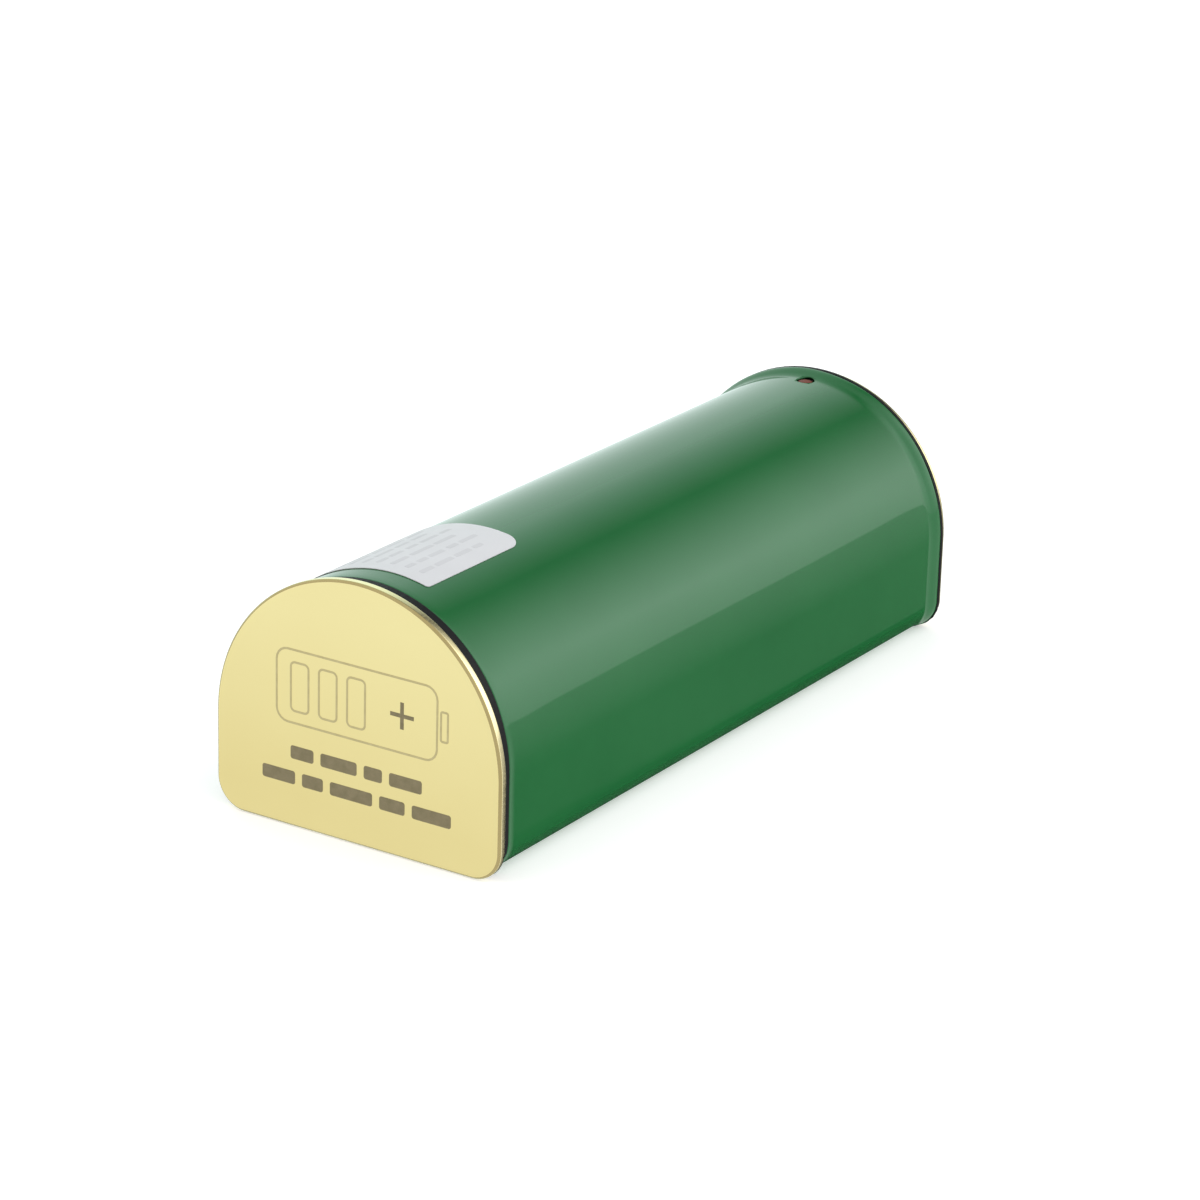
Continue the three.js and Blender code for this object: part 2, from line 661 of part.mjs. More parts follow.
// ---- relief valve: the poppet's head lifts off its seat against the spring below ----
function addValve() {
  const plugCrown = CROWN - PLUG_INSET;
  const seatTop = plugCrown + VALVE_SEAT_RISE;
  const seatBottom = plugCrown - PLUG_WALL + FACE_GAP;
  const headBottom = seatTop + FACE_GAP;
  const retainerTop = seatBottom - VALVE_SPRING_SPACE;
  const retainerBottom = retainerTop - VALVE_RETAINER_HEIGHT;
  const retainerHole = VALVE_STEM_RADIUS + FACE_GAP;
  const retainerRadius = VALVE_SPRING_RADIUS + 0.2;
  const stemHole = VALVE_STEM_RADIUS + 3 * FACE_GAP;
  place(
    "valve_seat",
    turnedAtValve([
      [stemHole, seatBottom],
      [VALVE_SEAT_RADIUS, seatBottom],
      [VALVE_SEAT_RADIUS, seatTop],
      [stemHole, seatTop],
      [stemHole, seatBottom],
    ]),
    brass,
  );
  place(
    "valve_poppet",
    turnedAtValve([
      [0, retainerBottom - 0.2],
      [VALVE_STEM_RADIUS, retainerBottom - 0.2],
      [VALVE_STEM_RADIUS, headBottom],
      [VALVE_HEAD_RADIUS, headBottom],
      [VALVE_HEAD_RADIUS, CROWN - 0.25],
      [VALVE_HEAD_RADIUS - 0.3, CROWN - 0.1],
      [0, CROWN - 0.05],
    ]),
    silicone,
  );
  place(
    "valve_retainer",
    turnedAtValve([
      [retainerHole, retainerBottom],
      [retainerRadius, retainerBottom],
      [retainerRadius, retainerTop],
      [retainerHole, retainerTop],
      [retainerHole, retainerBottom],
    ]),
    steel,
  );
  const springLow = retainerTop + VALVE_WIRE_RADIUS + FACE_GAP;
  const springHigh = seatBottom - VALVE_WIRE_RADIUS - FACE_GAP;
  place("valve_spring", helix(springLow, springHigh), steel);
}

function helix(low, high) {
  class Coil extends THREE.Curve {
    getPoint(t, target = new THREE.Vector3()) {
      const angle = t * VALVE_SPRING_TURNS * 2 * Math.PI;
      const x = VALVE_SPRING_RADIUS * Math.cos(angle);
      const y = VALVE_Y + VALVE_SPRING_RADIUS * Math.sin(angle);
      return target.set(x, y, low + (high - low) * t);
    }
  }
  return sweep(new Coil(), VALVE_WIRE_RADIUS, VALVE_SPRING_TURNS * 12, WIRE_SIDES);
}

addShell();
addLabel();
addEnds();
addCells();
addHolders();
addStrips();
addElectronics();
addValve();

export default pack;
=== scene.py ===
"""The looks of the D-section battery pack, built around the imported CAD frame. Metres, +Z up."""
import math
import random

import bpy
from mathutils import Matrix, Vector


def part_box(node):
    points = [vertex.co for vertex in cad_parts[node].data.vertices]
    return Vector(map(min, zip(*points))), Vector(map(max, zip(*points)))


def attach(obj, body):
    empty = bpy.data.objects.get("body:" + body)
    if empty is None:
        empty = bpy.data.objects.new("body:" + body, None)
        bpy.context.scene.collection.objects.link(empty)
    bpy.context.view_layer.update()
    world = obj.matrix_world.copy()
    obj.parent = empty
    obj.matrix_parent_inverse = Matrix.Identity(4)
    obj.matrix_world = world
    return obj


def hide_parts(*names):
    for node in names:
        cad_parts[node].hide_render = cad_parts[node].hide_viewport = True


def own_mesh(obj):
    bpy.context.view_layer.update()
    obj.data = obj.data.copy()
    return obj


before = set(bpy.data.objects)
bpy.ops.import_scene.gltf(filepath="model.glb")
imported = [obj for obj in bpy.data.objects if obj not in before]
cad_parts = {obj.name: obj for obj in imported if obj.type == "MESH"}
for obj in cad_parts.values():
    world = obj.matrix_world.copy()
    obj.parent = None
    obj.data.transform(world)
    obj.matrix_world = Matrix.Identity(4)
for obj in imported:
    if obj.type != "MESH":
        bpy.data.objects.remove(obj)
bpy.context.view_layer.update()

MM = 0.001

# ---- places taken from the frame ----
SLEEVE_LOW, SLEEVE_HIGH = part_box("shrink_sleeve")
PLATE_LOW, PLATE_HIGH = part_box("front_end_plate")
FLANGE_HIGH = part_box("front_bulkhead")[1]
RIM_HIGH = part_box("rear_bulkhead")[1]
LABEL_LOW, LABEL_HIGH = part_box("spec_label")
VALVE_LOW, VALVE_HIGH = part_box("valve_poppet")
HALF_WIDTH = FLANGE_HIGH.x
ARC_CENTRE = FLANGE_HIGH.z - HALF_WIDTH
RIM_OVERHANG = RIM_HIGH.x - HALF_WIDTH
RIM_RISE = RIM_HIGH.z - RIM_HIGH.x - ARC_CENTRE
SLEEVE_START, SLEEVE_STOP = SLEEVE_LOW.y, SLEEVE_HIGH.y
END = -PLATE_LOW.y
PLATE_THICKNESS = PLATE_HIGH.y - PLATE_LOW.y
VALVE_Y = (VALVE_LOW.y + VALVE_HIGH.y) / 2

# ---- sizes that the boxes don't give ----
BASE_CORNER = 5.7 * MM
PLATE_CORNER = 5.4 * MM
REAR_CORNER = 4.9 * MM
SLEEVE_WALL = 0.35 * MM  # thinner than in the CAD, so that its ripples stay clear of the tube
VALVE_HOLE_RADIUS = 1.7 * MM
LABEL_FROM, LABEL_TO = 74, 134  # degrees round the half-round top, from +X

# ---- camera ----
AZIMUTH = 32.52
ELEVATION = 20.18
ROLL = 1.6
DISTANCE = 0.7348
LENS = 125.7
TARGET = Vector((-0.00484, 0.00601, 0.01778))


def add_camera():
    a, e, r = (math.radians(value) for value in (AZIMUTH, ELEVATION, ROLL))
    back = Vector((math.sin(a) * math.cos(e), -math.cos(a) * math.cos(e), math.sin(e)))
    right = Vector((math.cos(a), math.sin(a), 0))
    up = back.cross(right)
    rolled_right = right * math.cos(r) + up * math.sin(r)
    rolled_up = up * math.cos(r) - right * math.sin(r)
    data = bpy.data.cameras.new("camera")
    data.lens = LENS
    data.sensor_width = 36
    data.clip_start = 0.05
    data.clip_end = 50
    camera = bpy.data.objects.new("camera", data)
    turn = Matrix((rolled_right, rolled_up, back)).transposed().to_4x4()
    camera.matrix_world = Matrix.Translation(TARGET + back * DISTANCE) @ turn
    bpy.context.scene.collection.objects.link(camera)
    bpy.context.scene.camera = camera


# ---- node materials ----
def set_input(node, name, value):
    node.inputs[name].default_value = value


def add_noise(tree, coordinates, scale, detail=3.0, stretch=(1, 1, 1)):
    mapping = tree.nodes.new("ShaderNodeMapping")
    set_input(mapping, "Scale", stretch)
    tree.links.new(coordinates, mapping.inputs["Vector"])
    noise = tree.nodes.new("ShaderNodeTexNoise")
    set_input(noise, "Scale", scale)
    set_input(noise, "Detail", detail)
    tree.links.new(mapping.outputs["Vector"], noise.inputs["Vector"])
    return noise.outputs["Fac"]


def remap(tree, value, low, high, from_low=0.3, from_high=0.7):
    node = tree.nodes.new("ShaderNodeMapRange")
    set_input(node, "From Min", from_low)
    set_input(node, "From Max", from_high)
    set_input(node, "To Min", low)
    set_input(node, "To Max", high)
    tree.links.new(value, node.inputs["Value"])
    return node.outputs["Result"]


def mix_colours(tree, share, first, second):
    node = tree.nodes.new("ShaderNodeMix")
    node.data_type = "RGBA"
    tree.links.new(share, node.inputs["Factor"])
    for socket, colour in zip((node.inputs[6], node.inputs[7]), (first, second)):
        if isinstance(colour, bpy.types.NodeSocket):
            tree.links.new(colour, socket)
        else:
            socket.default_value = (*colour, 1)
    return node.outputs[2]


def mix_values(tree, share, first, second):
    node = tree.nodes.new("ShaderNodeMix")
    for socket, value in zip((node.inputs[0], node.inputs[2], node.inputs[3]), (share, first, second)):
        if isinstance(value, bpy.types.NodeSocket):
            tree.links.new(value, socket)
        else:
            socket.default_value = value
    return node.outputs[0]


def multiply(tree, first, second):
    node = tree.nodes.new("ShaderNodeMath")
    node.operation = "MULTIPLY"
    tree.links.new(first, node.inputs[0])
    tree.links.new(second, node.inputs[1])
    return node.outputs[0]


def add_bump(tree, height, strength, distance):
    node = tree.nodes.new("ShaderNodeBump")
    set_input(node, "Strength", strength)
    set_input(node, "Distance", distance)
    tree.links.new(height, node.inputs["Height"])
    return node.outputs["Normal"]


# how much the random patches still show through a height pair's painted light, lighter towards the top
PATCHES_OVER_PAINTED_LIGHT = 0.2


def material(name, light, dark, rough, metallic=0.0, grain=400, patch=60, stretch=(1, 1, 1),
             bump=0.1, bump_depth=0.02, height=None, **plain):
    """A surface with blotches of two shades, roughness that varies with a fine grain, and the grain in
    relief. rough is (lowest, highest); grain and patch are noise scales per metre; bump_depth is in
    millimetres. Between the two heights of a height pair, in metres, dark gives way to light: painted light
    that makes the surface lighter towards its top."""
    made = bpy.data.materials.new(name)
    made.use_nodes = True
    tree = made.node_tree
    shader = tree.nodes["Principled BSDF"]
    place = tree.nodes.new("ShaderNodeTexCoord").outputs["Object"]
    patches = add_noise(tree, place, patch)
    fine = add_noise(tree, place, grain, 4.0, stretch)
    share = remap(tree, patches, 0, 1)
    if height:
        split = tree.nodes.new("ShaderNodeSeparateXYZ")
        tree.links.new(place, split.inputs[0])
        # painted light: the colour grows lighter with height, standing in for brighter light on the upper
        # part
        painted_top_light = remap(tree, split.outputs["Z"], 0, 1, *height)
        share = mix_values(tree, PATCHES_OVER_PAINTED_LIGHT, painted_top_light, share)
    tree.links.new(mix_colours(tree, share, dark, light), shader.inputs["Base Color"])
    tree.links.new(remap(tree, fine, *rough), shader.inputs["Roughness"])
    relief = add_bump(tree, fine, bump, bump_depth * MM)
    tree.links.new(relief, shader.inputs["Normal"])
    set_input(shader, "Metallic", metallic)
    for socket, value in plain.items():
        set_input(shader, socket.replace("_", " "), value)
    return made


# ---- meshes ----
def new_object(name, vertices, faces, *materials, sharp=32, indices=None):
    mesh = bpy.data.meshes.new(name)
    mesh.from_pydata([tuple(v) for v in vertices], [], faces)
    for each in materials:
        mesh.materials.append(each)
    mesh.polygons.foreach_set("use_smooth", [True] * len(mesh.polygons))
    if indices:
        mesh.polygons.foreach_set("material_index", indices)
    mesh.update()
    mesh.set_sharp_from_angle(angle=math.radians(sharp))
    made = bpy.data.objects.new(name, mesh)
    bpy.context.scene.collection.objects.link(made)
    return made


def arc(centre_x, centre_z, radius, start, stop, steps):
    angles = (math.radians(start + (stop - start) * i / steps) for i in range(steps + 1))
    return [(centre_x + radius * math.cos(a), centre_z + radius * math.sin(a)) for a in angles]


ARC_STEPS = 128
CORNER_STEPS = 14
SIDE_STEPS = 8
BASE_STEPS = 24
LEAST_CORNER = 0.3 * MM


def arch(half, centre, floor, corner):
    """The D outline as (x, z), anticlockwise from the right end of the half-round top."""
    left_bottom = arc(-half + corner, floor + corner, corner, 180, 270, CORNER_STEPS)
    right_bottom = arc(half - corner, floor + corner, corner, 270, 360, CORNER_STEPS)
    outline = arc(0, centre, half, 0, 180, ARC_STEPS)
    outline += straight((-half, centre), left_bottom[0], SIDE_STEPS) + left_bottom
    outline += straight(left_bottom[-1], right_bottom[0], BASE_STEPS) + right_bottom
    outline += straight(right_bottom[-1], (half, centre), SIDE_STEPS)
    return outline


def straight(start, stop, steps):
    """The points between two ends, without the ends."""
    shares = (i / steps for i in range(1, steps))
    return [(start[0] + (stop[0] - start[0]) * s, start[1] + (stop[1] - start[1]) * s) for s in shares]


def plate_section(low, high, corner, inset):
    """The outline of a plate whose box runs from low to high, drawn in by an even inset."""
    return arch(high.x - inset, high.z - high.x, low.z + inset, max(corner - inset, LEAST_CORNER))


def loft(name, loops, *materials, flip=False, band_material=None, sharp=32):
    """Joins equal loops of (x, y, z) points in order, with a cap at each end."""
    count = len(loops[0])
    vertices = [point for loop in loops for point in loop]
    faces, indices = [], []
    for i in range(len(loops) - 1):
        low, high = i * count, (i + 1) * count
        for k in range(count):
            n = (k + 1) % count
            faces.append((low + k, low + n, high + n, high + k))
            indices.append(band_material[i] if band_material else 0)
    faces.append(tuple(range(count))[::-1])
    faces.append(tuple(range((len(loops) - 1) * count, len(loops) * count)))
    indices += [0, 0]
    if flip:
        faces = [face[::-1] for face in faces]
    return new_object(name, vertices, faces, *materials, sharp=sharp, indices=indices)


def at_y(outline, y):
    return [(x, y, z) for x, z in outline]


def finish_piece(piece, body, slot, *nodes):
    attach(piece, body)
    if nodes:
        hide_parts(*nodes)
    return piece


# ---- sleeve: a film drawn tight over the tube, with slight ripples that grow towards its ends ----
PATCH = 2.0 * MM  # half the side of the square round the valve's opening
PATCH_CELLS = 6
SIDE_COLUMNS = 64  # from the half-round top's end to the patch
BODY_ROWS = 96
REAR_ROWS = 10
END_ROLL = 0.28 * MM
ROLL_STEPS = 6
FLARE_START = 0.0675  # a little before the CAD's, so that the film starts to rise without a crease
FLARE_LAND = 0.3 * MM
SHRINK_REACH = 9 * MM  # how far the shrink marks run in from an end
DRIFT = 2.1  # how far the slow waves lean round the section, in radians


def from_end(y):
    return min(y - SLEEVE_START, SLEEVE_STOP - y)


def wave(height, turns, angle, y, length):
    """A wave of that height in millimetres. Along the sleeve, a radian of it is length millimetres."""
    return height * math.sin(turns * angle + y / (length * MM))


def ripple(angle, y):
    """How far the film stands off its even section, in metres."""
    a = math.radians(angle)
    near_end = math.exp(-from_end(y) / SHRINK_REACH)
    slow = wave(0.012, 1, DRIFT * math.sin(3 * a), y, 11) + wave(0.010, 5, a, y, 17)
    shrink = wave(0.030, 7, a, y, 5) + wave(0.018, 13, a, y, -3.5)
    return (slow + near_end * shrink) * MM


def flare(y):
    """From 0 along the body to 1 where the film is drawn up to the rear rim."""
    share = max(0.0, min(1.0, (y - FLARE_START) / (SLEEVE_STOP - FLARE_LAND - FLARE_START)))
    return share * share * (3 - 2 * share)


def film_point(angle, y, lift=0.0):
    """A point on the half-round top, lifted off the film."""
    out = flare(y)
    radius = HALF_WIDTH + out * RIM_OVERHANG + ripple(angle, y) + lift
    a = math.radians(angle)
    return (radius * math.cos(a), y, ARC_CENTRE + out * RIM_RISE + radius * math.sin(a))


def sleeve_columns():
    """Functions of y that give the points round the section, and the two columns that bound the patch."""
    half_patch = math.degrees(PATCH / HALF_WIDTH)
    side = [(90 - half_patch) * i / SIDE_COLUMNS for i in range(SIDE_COLUMNS)]
    middle = [90 - half_patch + 2 * half_patch * i / PATCH_CELLS for i in range(PATCH_CELLS + 1)]
    angles = side + middle + [180 - angle for angle in reversed(side)]
    top = [lambda y, inset, angle=angle: film_point(angle, y, -inset) for angle in angles]
    below = arch(HALF_WIDTH, ARC_CENTRE, 0, BASE_CORNER)[ARC_STEPS + 1:]  # past the half-round top

    def low_point(y, inset, place):
        x, z = place
        width = 1 + (flare(y) * RIM_OVERHANG - inset) / HALF_WIDTH
        return (x * width, y, max(z, inset))

    low = [lambda y, inset, place=place: low_point(y, inset, place) for place in below]
    return top + low, len(side), len(side) + PATCH_CELLS


def roll_inset(y):
    short = END_ROLL - from_end(y)
    if short <= 0:
        return 0.0
    return END_ROLL - math.sqrt(max(END_ROLL**2 - short**2, 0))


def sleeve_rows():
    """The rows' y, denser where the ends roll in, and the two rows that bound the patch."""
    roll = [END_ROLL * (1 - math.cos(math.radians(90 * i / ROLL_STEPS))) for i in range(ROLL_STEPS)]
    patch_start, patch_stop = VALVE_Y - PATCH, VALVE_Y + PATCH
    start, stop = SLEEVE_START + END_ROLL, SLEEVE_STOP - END_ROLL
    rows = [SLEEVE_START + step for step in roll]
    rows += [start + (patch_start - start) * i / BODY_ROWS for i in range(BODY_ROWS)]
    first = len(rows)
    rows += [patch_start + 2 * PATCH * i / PATCH_CELLS for i in range(PATCH_CELLS + 1)]
    rows += [patch_stop + (stop - patch_stop) * i / REAR_ROWS for i in range(1, REAR_ROWS + 1)]
    rows += [SLEEVE_STOP - step for step in reversed(roll)]
    return rows, first, first + PATCH_CELLS


def add_sleeve(surface):
    columns, left, right = sleeve_columns()
    rows, low, high = sleeve_rows()
    count = len(columns)
    vertices = [column(y, roll_inset(y)) for y in rows for column in columns]
    faces = []
    for j in range(len(rows) - 1):
        for i in range(count):
            if left <= i < right and low <= j < high:
                continue
            n = (i + 1) % count
            faces.append((j * count + i, j * count + n, (j + 1) * count + n, (j + 1) * count + i))
    border = [(i, low) for i in range(left, right)] + [(right, j) for j in range(low, high)]
    border += [(i, high) for i in range(right, left, -1)] + [(left, j) for j in range(high, low, -1)]
    ring = [j * count + i for i, j in border]
    for share in (0.5, 1.0):
        inner = []
        for i, j in border:
            across = PATCH * (2 * (i - left) / PATCH_CELLS - 1)
            along = rows[j] - VALVE_Y
            reach = math.hypot(across, along)
            reached = reach + (VALVE_HOLE_RADIUS - reach) * share
            angle = 90 + math.degrees(across / HALF_WIDTH * reached / reach)
            inner.append(len(vertices))
            vertices.append(film_point(angle, VALVE_Y + along * reached / reach))
        for k in range(len(ring)):
            n = (k + 1) % len(ring)
            faces.append((ring[k], ring[n], inner[n], inner[k]))
        ring = inner
    sleeve = new_object("green_sleeve", vertices, [face[::-1] for face in faces], surface, sharp=60)
    wall = sleeve.modifiers.new("wall", "SOLIDIFY")
    wall.thickness = SLEEVE_WALL
    wall.offset = -1
    wall.use_even_offset = False
    finish_piece(sleeve, "pack", "green_sleeve", "shrink_sleeve")


# ---- label ----
LABEL_NEAR_CORNER = 0.7 * MM
LABEL_FAR_CORNER = 3.2 * MM
LABEL_LIFT = 0.05 * MM
LABEL_THICKNESS = 0.12 * MM
BAR_ROWS = 8
BAR_ROWS_FROM = 7  # degrees round from the label's right edge
BAR_ROWS_TRIM = 12  # degrees of the label left free of rows, both sides together
BAR_SHARE = 0.34  # of the rows' pitch
BAR_LENGTHS = (2.2, 6.0)
BAR_GAPS = (0.7, 1.3)
BAR_CORNER = 0.12 * MM
BAR_LIFT = 0.004 * MM
BAR_THICKNESS = 0.012 * MM
ROW_START = 3.2 * MM
ROW_END = 3.5 * MM
LAST_BAR = 6 * MM  # no bar starts nearer to the label's far end than this


def corner_trim(corner, from_side):
    """How much a rounded corner takes off a column's length at that distance from the side."""
    gap = corner - from_side
    return corner - math.sqrt(corner**2 - gap**2) if gap > 0 else 0.0


def curved_pad(name, angles, ends, corners, lift, thickness, columns, rows, surface):
    """A thin film with rounded corners that follows the sleeve, standing lift above it."""
    from_angle, to_angle = angles
    low_y, high_y = ends
    near_corner, far_corner = corners
    width = math.radians(to_angle - from_angle) * HALF_WIDTH
    vertices, faces = [], []
    shares = [0.5 - 0.5 * math.cos(math.pi * i / columns) for i in range(columns + 1)]
    for layer in (lift, lift + thickness):
        for share in shares:
            from_side = min(share, 1 - share) * width
            start = low_y + corner_trim(near_corner, from_side)
            stop = high_y - corner_trim(far_corner, from_side)
            for j in range(rows + 1):
                y = start + (stop - start) * j / rows
                vertices.append(film_point(from_angle + (to_angle - from_angle) * share, y, layer))
    span, layer_size = rows + 1, (rows + 1) * (columns + 1)
    for i in range(columns):
        for j in range(rows):
            a, b = i * span + j, (i + 1) * span + j
            faces.append((a, a + 1, b + 1, b))
            faces.append((layer_size + a, layer_size + b, layer_size + b + 1, layer_size + a + 1))
        for j, step in ((0, 1), (rows, -1)):
            a, b = i * span + j, (i + 1) * span + j
            side = (a, b, layer_size + b, layer_size + a)
            faces.append(side[::step])
    for j in range(rows):
        a, b = j, columns * span + j
        faces.append((a, layer_size + a, layer_size + a + 1, a + 1))
        faces.append((b, b + 1, layer_size + b + 1, layer_size + b))
    return new_object(name, vertices, faces, surface, sharp=40)


def add_label(paper, ink):
    low, high = LABEL_LOW.y, LABEL_HIGH.y
    corners = (LABEL_NEAR_CORNER, LABEL_FAR_CORNER)
    label = curved_pad("rating_label", (LABEL_FROM, LABEL_TO), (low, high), corners, LABEL_LIFT,
                       LABEL_THICKNESS, 80, 24, paper)
    finish_piece(label, "pack", "label_paper", "spec_label")
    draw = random.Random(7)
    lift = LABEL_LIFT + LABEL_THICKNESS + BAR_LIFT
    pitch = (LABEL_TO - LABEL_FROM - BAR_ROWS_TRIM) / BAR_ROWS
    for row in range(BAR_ROWS):
        angle = LABEL_FROM + BAR_ROWS_FROM + row * pitch
        y = low + ROW_START
        part = 0
        while y < high - LAST_BAR:
            stop = min(y + draw.uniform(*BAR_LENGTHS) * MM, high - ROW_END)
            bar = curved_pad(f"label_bar_{row}_{part}", (angle, angle + pitch * BAR_SHARE), (y, stop),
                             (BAR_CORNER, BAR_CORNER), lift, BAR_THICKNESS, 3, 3, ink)
            finish_piece(bar, "pack", "label_paper")
            y = stop + draw.uniform(*BAR_GAPS) * MM
            part += 1


# ---- end plates ----
CHAMFER = 0.36 * MM
CHAMFER_EASE = 0.06 * MM
BACK_ROUND = 0.2 * MM
BACK_STEPS = 4
SUPPORT = 0.9 * MM  # from an edge to the loop that keeps the flat face's shading flat
FACE_EDGE = (0.02 * MM, 0.01 * MM)  # depth and inset of the chamfer's broken edge at the face
SIDE_EDGE = 0.03 * MM  # the same at the side, both ways
CHAMFER_BANDS = (1, 2, 3)
EDGE_SHARES = (0.3, 0.65, 1)


def plate_profile():
    """Depth behind the face, and inset, from the face's edge to the back's."""
    depth, inset = FACE_EDGE
    points = [(0, CHAMFER + SUPPORT), (0, CHAMFER + CHAMFER_EASE), (depth, CHAMFER - inset)]
    points += [(CHAMFER - SIDE_EDGE, SIDE_EDGE), (CHAMFER + CHAMFER_EASE, 0)]
    straight_stop = PLATE_THICKNESS - BACK_ROUND
    points += [(CHAMFER + (straight_stop - CHAMFER) * share, 0) for share in EDGE_SHARES]
    for i in range(1, BACK_STEPS + 1):
        a = math.radians(90 * i / BACK_STEPS)
        points.append((straight_stop + BACK_ROUND * math.sin(a), BACK_ROUND * (1 - math.cos(a))))
    points.append((PLATE_THICKNESS, BACK_ROUND + SUPPORT))
    return points


def add_plate(name, node, sign, corner, face_gold, shaded_chamfer_gold, rim_gold):
    low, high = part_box(node)
    loops = []
    for depth, inset in plate_profile():
        loops.append(at_y(plate_section(low, high, corner, inset), sign * (END - depth)))
    # the chamfer bands take the darker gold, painted shade along the face's edge
    bands = [0 if i == 0 else 1 if i in CHAMFER_BANDS else 2 for i in range(len(loops) - 1)]
    plate = loft(name, loops, face_gold, shaded_chamfer_gold, rim_gold, flip=sign > 0, band_material=bands, sharp=50)
    finish_piece(plate, "pack", "gold_plate", node)


# ---- the printed mark: a plain battery pictogram over two rows of bars ----
INK_HEIGHT = 0.02 * MM
FACE_Y = -END
BOX_CORNER_STEPS = 5
MARK_LINE = 0.38 * MM
MARK_MIDDLE = 24.5 * MM  # height of the pictogram's centre
BODY_WIDTH, BODY_HEIGHT, BODY_CORNER = 32 * MM, 13 * MM, 2.4 * MM
NUB_GAP, NUB_WIDTH, NUB_HEIGHT, NUB_CORNER = 1.2 * MM, 1.7 * MM, 5.4 * MM, 0.5 * MM
CELL_PLACES = (-11.2, -5.6, 0)
CELL_WIDTH, CELL_HEIGHT, CELL_CORNER = 3.9 * MM, 8.8 * MM, 1.0 * MM
PLUS_PLACE, PLUS_ARM, PLUS_HALF_LINE = 9.0 * MM, 2.3 * MM, 0.35 * MM
QUARTER_TURNS = ((1, 0), (0, 1), (-1, 0), (0, -1))  # cosine and sine
MARK_BARS = ((13.1, (4.6, 7.2, 3.6, 6.4)), (8.6, (6.6, 4.2, 8.4, 5.0, 7.6)))  # height, then widths
MARK_BAR_GAP = 1.4
MARK_BAR_HEIGHT = 2.3 * MM
MARK_BAR_CORNER = 0.45 * MM


def ink_sheet(name, outlines, surface):
    """Flat shapes lying on the front face. Each outline is a list of (x, z) points, or a pair of such lists
    of equal length for a closed line with an outer and an inner edge."""
    vertices, faces = [], []
    for outline in outlines:
        first = len(vertices)
        if isinstance(outline, tuple):
            outer, inner = outline
            count = len(outer)
            for loop in (outer, inner):
                for y in (FACE_Y, FACE_Y - INK_HEIGHT):
                    vertices += [(x, y, z) for x, z in loop]
            for k in range(count):
                n = (k + 1) % count
                outer_low, outer_top, inner_low, inner_top = (first + count * i for i in range(4))
                faces.append([outer_top + k, outer_top + n, inner_top + n, inner_top + k])
                faces.append([outer_low + k, outer_top + k, outer_top + n, outer_low + n])
                faces.append([inner_low + n, inner_top + n, inner_top + k, inner_low + k])
        else:
            count = len(outline)
            for y in (FACE_Y, FACE_Y - INK_HEIGHT):
                vertices += [(x, y, z) for x, z in outline]
            faces.append([first + count + k for k in range(count)])
            for k in range(count):
                n = (k + 1) % count
                faces.append([first + k, first + n, first + count + n, first + count + k])
    made = new_object(name, vertices, faces, surface, sharp=30)
    return finish_piece(made, "pack", "gold_plate")


def rounded_box(centre_x, centre_z, width, height, corner):
    outline = []
    for sx, sz, start in ((1, 1, 0), (-1, 1, 90), (-1, -1, 180), (1, -1, 270)):
        x = centre_x + sx * (width / 2 - corner)
        z = centre_z + sz * (height / 2 - corner)
        outline += arc(x, z, corner, start, start + 90, BOX_CORNER_STEPS)
    return outline


def box_line(centre_x, centre_z, width, height, corner, line):
    outer = rounded_box(centre_x, centre_z, width, height, corner)
    inner = rounded_box(centre_x, centre_z, width - 2 * line, height - 2 * line, corner - line)
    return outer, inner


def add_mark(line_ink, bar_ink):
    lines = [box_line(0, MARK_MIDDLE, BODY_WIDTH, BODY_HEIGHT, BODY_CORNER, MARK_LINE)]
    nub = BODY_WIDTH / 2 + NUB_GAP
    lines.append(box_line(nub, MARK_MIDDLE, NUB_WIDTH, NUB_HEIGHT, NUB_CORNER, MARK_LINE))
    for place in CELL_PLACES:
        lines.append(box_line(place * MM, MARK_MIDDLE, CELL_WIDTH, CELL_HEIGHT, CELL_CORNER, MARK_LINE))
    ink_sheet("front_mark_lines", lines, line_ink)
    arm, half_line = PLUS_ARM, PLUS_HALF_LINE
    corners = ((arm, half_line), (half_line, half_line), (half_line, arm))
    sign = []
    for cos, sin in QUARTER_TURNS:
        sign += [(PLUS_PLACE + x * cos - z * sin, MARK_MIDDLE + x * sin + z * cos) for x, z in corners]
    bars = [sign]
    for z, widths in MARK_BARS:
        x = -(sum(widths) + MARK_BAR_GAP * (len(widths) - 1)) / 2
        for width in widths:
            middle = (x + width / 2) * MM
            bars.append(rounded_box(middle, z * MM, width * MM, MARK_BAR_HEIGHT, MARK_BAR_CORNER))
            x += width + MARK_BAR_GAP
    ink_sheet("front_mark_bars", bars, bar_ink)


# ---- relief valve ----
TURNED_SIDES = 64


def turned(name, centre_y, profile, surface):
    """A turned piece on an upright axis. Profile points are (radius, height); radius 0 closes an end."""
    vertices, faces, rings = [], [], []
    for radius, height in profile:
        if radius == 0:
            rings.append([len(vertices)])
            vertices.append((0, 0, height))
            continue
        rings.append(list(range(len(vertices), len(vertices) + TURNED_SIDES)))
        vertices += [(*point, height) for point in arc(0, 0, radius, 0, 360, TURNED_SIDES)[:-1]]
    for low, high in zip(rings, rings[1:]):
        for k in range(TURNED_SIDES):
            n = (k + 1) % TURNED_SIDES
            if len(low) == 1:
                faces.append((low[0], high[n], high[k]))
            elif len(high) == 1:
                faces.append((low[k], low[n], high[0]))
            else:
                faces.append((low[k], low[n], high[n], high[k]))
    placed = [(x, y + centre_y, z) for x, y, z in vertices]
    return new_object(name, placed, faces, surface, sharp=35)


